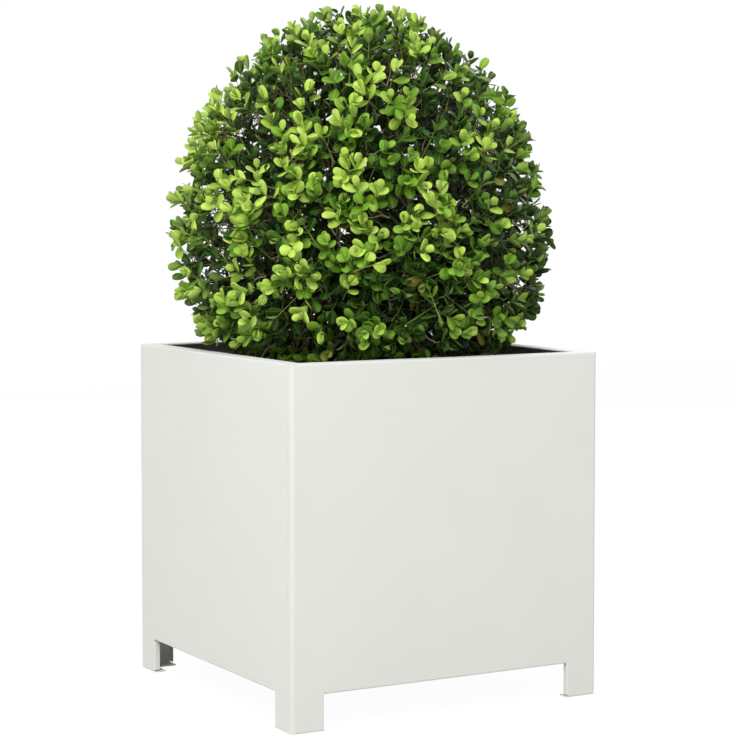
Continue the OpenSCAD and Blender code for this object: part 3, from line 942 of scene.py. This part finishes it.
def crumbs_model(size):
    """The mesh of one crumb: a ball with its sides pushed in."""
    bpy.ops.mesh.primitive_ico_sphere_add(subdivisions=1, radius=size / 2)
    ob = bpy.context.object
    pick(ob, "VERT", lambda v: v.co.x > 0.1 * size)
    bpy.ops.transform.translate(value=(-0.12 * size, 0.05 * size, 0.08 * size))
    pick(ob, "VERT", lambda v: v.co.z < -0.1 * size)
    bpy.ops.transform.resize(value=(1.25, 0.8, 0.7), center_override=(0, 0, 0))
    settle(ob, "crumb")
    me = ob.data
    bpy.data.objects.remove(ob)
    return me


def scattered(model, spots, level, rng):
    """Copies of a crumb at flat spots, each turned and sized by chance."""
    co = read(model.vertices, "co", np.float64, 3)
    turn = np.linalg.qr(rng.normal(size=(len(spots), 3, 3)))[0]
    turn *= np.sign(np.linalg.det(turn))[:, None, None]
    size = rng.lognormal(-0.35, 0.45, (len(spots), 1, 1)).clip(0.25, 1.7)
    flat = rng.uniform(0.6, 1.0, (len(spots), 1, 3))
    at = np.column_stack([spots, np.full(len(spots), level)])[:, None]
    places = (co[None] * flat * size) @ turn.transpose(0, 2, 1) + at
    # Each crumb sinks a little into the soil
    return places + np.array([0, 0, 0.0008]) * rng.uniform(0, 1, (len(spots), 1, 1))


class PLANTER_OT_shape_root_ball(bpy.types.Operator):
    """Models the root ball of the plant, with the roots that run over its sides"""

    bl_idname = "planter.shape_root_ball"
    bl_label = "Shape the root ball"

    def execute(self, context):
        settings = context.scene.planter_soil
        ball = root_cone("root_mat", 0)
        at, foot = ball.data.vertices, ROOT_LOW.z + 0.001
        pick(ball, "EDGE", lambda e: all(at[i].co.z < foot for i in e.vertices))
        bpy.ops.mesh.bevel(offset=0.016, segments=2)
        bpy.ops.object.mode_set(mode="OBJECT")
        roughen(ball, settings.grain)
        dress(ball, "plant", "roots", peat(settings.soil, settings.root), "root_ball")

        rng = np.random.default_rng(11)
        roots = []
        for _ in range(SURFACE_ROOTS):
            bearing, z = rng.uniform(0, 2 * math.pi), ROOT_HIGH.z - rng.uniform(0.004, 0.1)
            drift, points = rng.uniform(-1.2, 1.2), []
            for _ in range(int(rng.integers(12, 26))):
                share = (z - ROOT_LOW.z) / (ROOT_HIGH.z - ROOT_LOW.z)
                if share < 0.1:
                    break
                r = ROOT_FOOT + (ROOT_HIGH.x - ROOT_FOOT) * share - 0.0024
                points.append([r * math.cos(bearing), r * math.sin(bearing), z])
                drift = np.clip(drift + rng.normal(0, 0.35), -2, 2)
                bearing += drift * ROOT_STEP / r
                z -= ROOT_STEP * max(0.25, 1 - abs(drift) / 2)
            if len(points) > 4:
                thick = rng.uniform(0.5, 1.1) * MM
                radii = np.linspace(thick, 0.3 * thick, len(points))
                roots.append((np.array(points), radii))
        pale_root = wood("pale_young_root", settings.root, 0.5)
        dress(tubes("surface_roots", roots, 4), "plant", "roots", pale_root)
        return {"FINISHED"}


class PLANTER_OT_grow_wood(bpy.types.Operator):
    """Grows the stem, its forked limbs, the branches and the twigs that carry the shoots"""

    bl_idname = "planter.grow_wood"
    bl_label = "Grow the wood"

    def execute(self, context):
        settings = context.scene.planter_plant
        limbs, branches, twigs, _ = plan_plant(settings)
        old_wood = wood("furrowed_box_bark", settings.bark, 1.6)
        dress(tubes("stem_and_limbs", limbs, 10), "plant", "bark", old_wood, "stems")
        dress(tubes("branches", branches, 6), "plant", "bark", old_wood)
        twigs = [twig for twig in twigs if clear_of_planter(twig[0], TWIG_ROOM).all()]
        young_wood = wood("smooth_young_twig", linear("#BDB48C"), 0.6)
        dress(tubes("twigs", twigs, 4), "plant", "bark", young_wood)
        return {"FINISHED"}


class PLANTER_OT_grow_leaves(bpy.types.Operator):
    """Models one leaf and grows it along all the shoots of the clipped ball"""

    bl_idname = "planter.grow_leaves"
    bl_label = "Grow the leaves"

    def execute(self, context):
        settings = context.scene.planter_plant
        shoots = plan_plant(settings)[3]
        model = leaf_model(settings)
        leaves = [leaf for shoot in shoots for leaf in shoot["leaves"]]
        point, along, face, long, wide, fresh, cup, curl, luck = map(np.array, zip(*leaves))
        co = read(model.vertices, "co", np.float64, 3)[None]
        x = co[..., 0] / (settings.leaf_width / 2)
        y = co[..., 1] / settings.leaf_length
        half = wide[:, None] / 2
        bowl = half * cup[:, None] * x**2 * 1.3
        bend = long[:, None] * curl[:, None] * (y**2)
        local = np.stack([x * half, y * long[:, None], co[..., 2] + bowl + bend], -1)
        axes = np.stack([np.cross(along, face), along, face], 1)
        places = local @ axes + point[:, None]
        # Only leaves inside the clipped ball stay, clear of the planter
        size = [BALL_RADIUS, BALL_RADIUS, BALL_ABOVE]
        from_middle = (places - [0, 0, BALL_MIDDLE]) / size
        keep = np.linalg.norm(from_middle, axis=-1).max(1) < 1.01
        keep |= places[..., 2].max(1) < BALL_MIDDLE
        keep &= clear_of_planter(places, LEAF_ROOM).all(1)
        keep &= np.linalg.norm(places[..., :2], axis=-1).max(1) < BALL_RADIUS

        skin = leaf_skin(settings.fresh, settings.grown, settings.old)
        bearing = np.arctan2(point[:, 1], point[:, 0])
        order = np.argsort(bearing)
        order = order[keep[order]]
        limit = PIECE_TRIANGLES // sum(p.loop_total - 2 for p in model.polygons)
        parts = np.array_split(order, math.ceil(len(order) / limit))
        for number, chosen in enumerate(parts, 1):
            ob = stamped(f"leaves_{number}", model, places[chosen])
            draw_leaf_maps(ob.data, model, settings, fresh[chosen], luck[chosen])
            dress(ob, "plant", "leaves", skin, "foliage")

        stems = [
            (s["path"], np.linspace(0.0006, 0.00035, len(s["path"])))
            for s in shoots
            if clear_of_planter(s["path"], TWIG_ROOM).all()
        ]
        green = wood("green_box_shoot", linear("#8FA04C"), 0.6)
        dress(tubes("green_shoots", stems, 4), "plant", "leaves", green)
        print("leaves", len(order), "in", len(parts), "pieces, shoots", len(stems))
        return {"FINISHED"}


def leaf_model(settings):
    """The mesh of one leaf: a thin closed lens, narrow at the stalk and round at the tip."""
    long, wide, thick = settings.leaf_length, settings.leaf_width, settings.leaf_thickness
    bpy.ops.mesh.primitive_uv_sphere_add(
        segments=6,
        ring_count=7,
        radius=1,
        location=(0, long / 2, 0),
        rotation=(-math.pi / 2, 0, 0),
        scale=(wide / 2, thick / 2, long / 2),
    )
    ob = settle(bpy.context.object, "leaf")
    for ring, ratio in enumerate(LEAF_WIDTHS, 1):
        level = long * (1 - math.cos(ring * math.pi / 7)) / 2
        pick(ob, "VERT", lambda v, level=level: abs(v.co.y - level) < 0.1 * MM)
        bpy.ops.transform.resize(value=(ratio, 1, 1), center_override=(0, level, 0))
        bpy.ops.object.mode_set(mode="OBJECT")
    # The rounded tip is a little notched
    pick(ob, "VERT", lambda v: v.co.y > 0.99 * long)
    bpy.ops.transform.translate(value=(0, -0.02 * long, 0))
    at = ob.data.vertices
    pick(ob, "EDGE", lambda e: all(abs(at[i].co.z) < 1e-6 for i in e.vertices))
    bpy.ops.mesh.mark_sharp()
    bpy.ops.object.mode_set(mode="OBJECT")
    me = ob.data
    bpy.data.objects.remove(ob)
    return me


def draw_leaf_maps(me, model, settings, fresh, luck):
    """Writes each leaf's own map, its cell of the shared map, and its kind."""
    count = len(fresh)
    co = read(model.vertices, "co", np.float64, 3)
    corner = read(model.loops, "vertex_index", np.int32)
    totals = read(model.polygons, "loop_total", np.int32)
    centres = read(model.polygons, "center", np.float64, 3)
    below = (centres[:, 2] < 0).astype(np.float64)
    u = co[corner, 0] / settings.leaf_width + 0.5
    v = co[corner, 1] / settings.leaf_length
    own = np.tile(np.stack([u, v], -1).clip(0, 1)[None], (count, 1, 1))
    me.uv_layers.new(name="leaf").uv.foreach_set("vector", own.ravel())
    # Upper sides lie in the left half of a leaf's cell, and undersides in the right half
    across_cell = 0.04 + 0.42 * u.clip(0, 1) + 0.5 * np.repeat(below, totals)
    cells = math.ceil(math.sqrt(count))
    at = np.stack([np.arange(count) % cells, np.arange(count) // cells], -1)
    shared = np.stack([across_cell, 0.04 + 0.92 * v.clip(0, 1)], -1)
    shared = (at[:, None] + shared[None]) / cells
    me.uv_layers.new(name="OFBake").uv.foreach_set("vector", shared.ravel())
    me.uv_layers.active_index = 0
    kind = np.ones((count, len(totals), 4))
    kind[..., 0] = fresh.clip(0, 1)[:, None]
    kind[..., 1] = luck[:, None]
    kind[..., 2] = below[None]
    made = me.attributes.new("leaf_kind", "FLOAT_COLOR", "FACE")
    made.data.foreach_set("color", kind.astype(np.float32).ravel())


def hang_lamp(name, power, bearing, height):
    """A large soft lamp that points at the planter, placed by its bearing and height angle."""
    lamp = bpy.data.lights.new(name, "AREA")
    lamp.shape, lamp.size, lamp.size_y = "RECTANGLE", LAMP_SIZE, LAMP_SIZE
    lamp.energy = power
    ob = placed(name, lamp)
    bearing, height = math.radians(bearing), math.radians(height)
    level = math.cos(height)
    away = (math.sin(bearing) * level, -math.cos(bearing) * level, math.sin(height))
    ob.location = Vector((0, 0, LAMP_AIM)) + Vector(away) * LAMP_DISTANCE
    ob.rotation_euler = Vector(away).to_track_quat("Z", "Y").to_euler()


class PLANTER_OT_set_stage(bpy.types.Operator):
    """Sets the floor, the light and the camera"""

    bl_idname = "planter.set_stage"
    bl_label = "Set the stage"

    def execute(self, context):
        settings = context.scene.planter_stage
        scene = context.scene
        bpy.ops.mesh.primitive_plane_add(size=8, location=(0, 0, -0.0003))
        floor = settle(context.object, "floor")
        floor.data.materials.append(studio_floor(settings.floor))

        # The key stands in front on the left, and a weak fill behind on the right
        hang_lamp("key", settings.key_power, -40, 38)
        hang_lamp("fill", settings.fill_power, 135, 25)

        world = bpy.data.worlds.new("studio")
        world.use_nodes = True
        world.node_tree.nodes.clear()
        add = partial(add_node, world.node_tree)
        light = {"Color": linear("#FBFCFF"), "Strength": settings.ambient}
        both = {
            0: seen_directly(add),
            1: add("Background", light),
            2: add("Background", {"Color": grey(1)}),
        }
        add("OutputWorld", {"Surface": add("MixShader", both)})
        scene.world = world

        lens = bpy.data.cameras.new("camera")
        lens.lens, lens.sensor_width, lens.shift_y = LENS, 36, LENS_SHIFT
        lens.clip_start, lens.clip_end = 0.05, 50
        camera = placed("camera", lens)
        camera.location = CAMERA_PLACE
        turn = (math.radians(90 + CAMERA_PITCH), 0, math.radians(CAMERA_TURN))
        camera.rotation_euler = turn
        scene.camera = camera
        scene.view_settings.view_transform = "Standard"
        return {"FINISHED"}


STEPS = (
    PLANTER_OT_finish_steel,
    PLANTER_OT_lay_soil,
    PLANTER_OT_shape_root_ball,
    PLANTER_OT_grow_wood,
    PLANTER_OT_grow_leaves,
    PLANTER_OT_set_stage,
)
GROUPS = {
    "planter_steel": SteelSettings,
    "planter_soil": SoilSettings,
    "planter_plant": PlantSettings,
    "planter_stage": StageSettings,
}


class PLANTER_PT_panel(bpy.types.Panel):
    """Settings and steps of the planter"""

    bl_label = "Planter"
    bl_idname = "PLANTER_PT_panel"
    bl_space_type = "VIEW_3D"
    bl_region_type = "UI"
    bl_category = "Planter"

    def draw(self, context):
        for name, group in GROUPS.items():
            box = self.layout.box()
            for key in group.__annotations__:
                box.prop(getattr(context.scene, name), key)
        for step in STEPS:
            self.layout.operator(step.bl_idname)


def register():
    for cls in (*GROUPS.values(), *STEPS, PLANTER_PT_panel):
        bpy.utils.register_class(cls)
    for name, group in GROUPS.items():
        setattr(bpy.types.Scene, name, PointerProperty(type=group))


def unregister():
    for name in GROUPS:
        delattr(bpy.types.Scene, name)
    for cls in (PLANTER_PT_panel, *reversed(STEPS), *GROUPS.values()):
        bpy.utils.unregister_class(cls)


def main():
    """Makes every piece and the stage."""
    register()
    bpy.ops.planter.finish_steel()
    bpy.ops.planter.lay_soil()
    bpy.ops.planter.shape_root_ball()
    bpy.ops.planter.grow_wood()
    bpy.ops.planter.grow_leaves()
    bpy.ops.planter.set_stage()


if __name__ == "__main__":
    main()
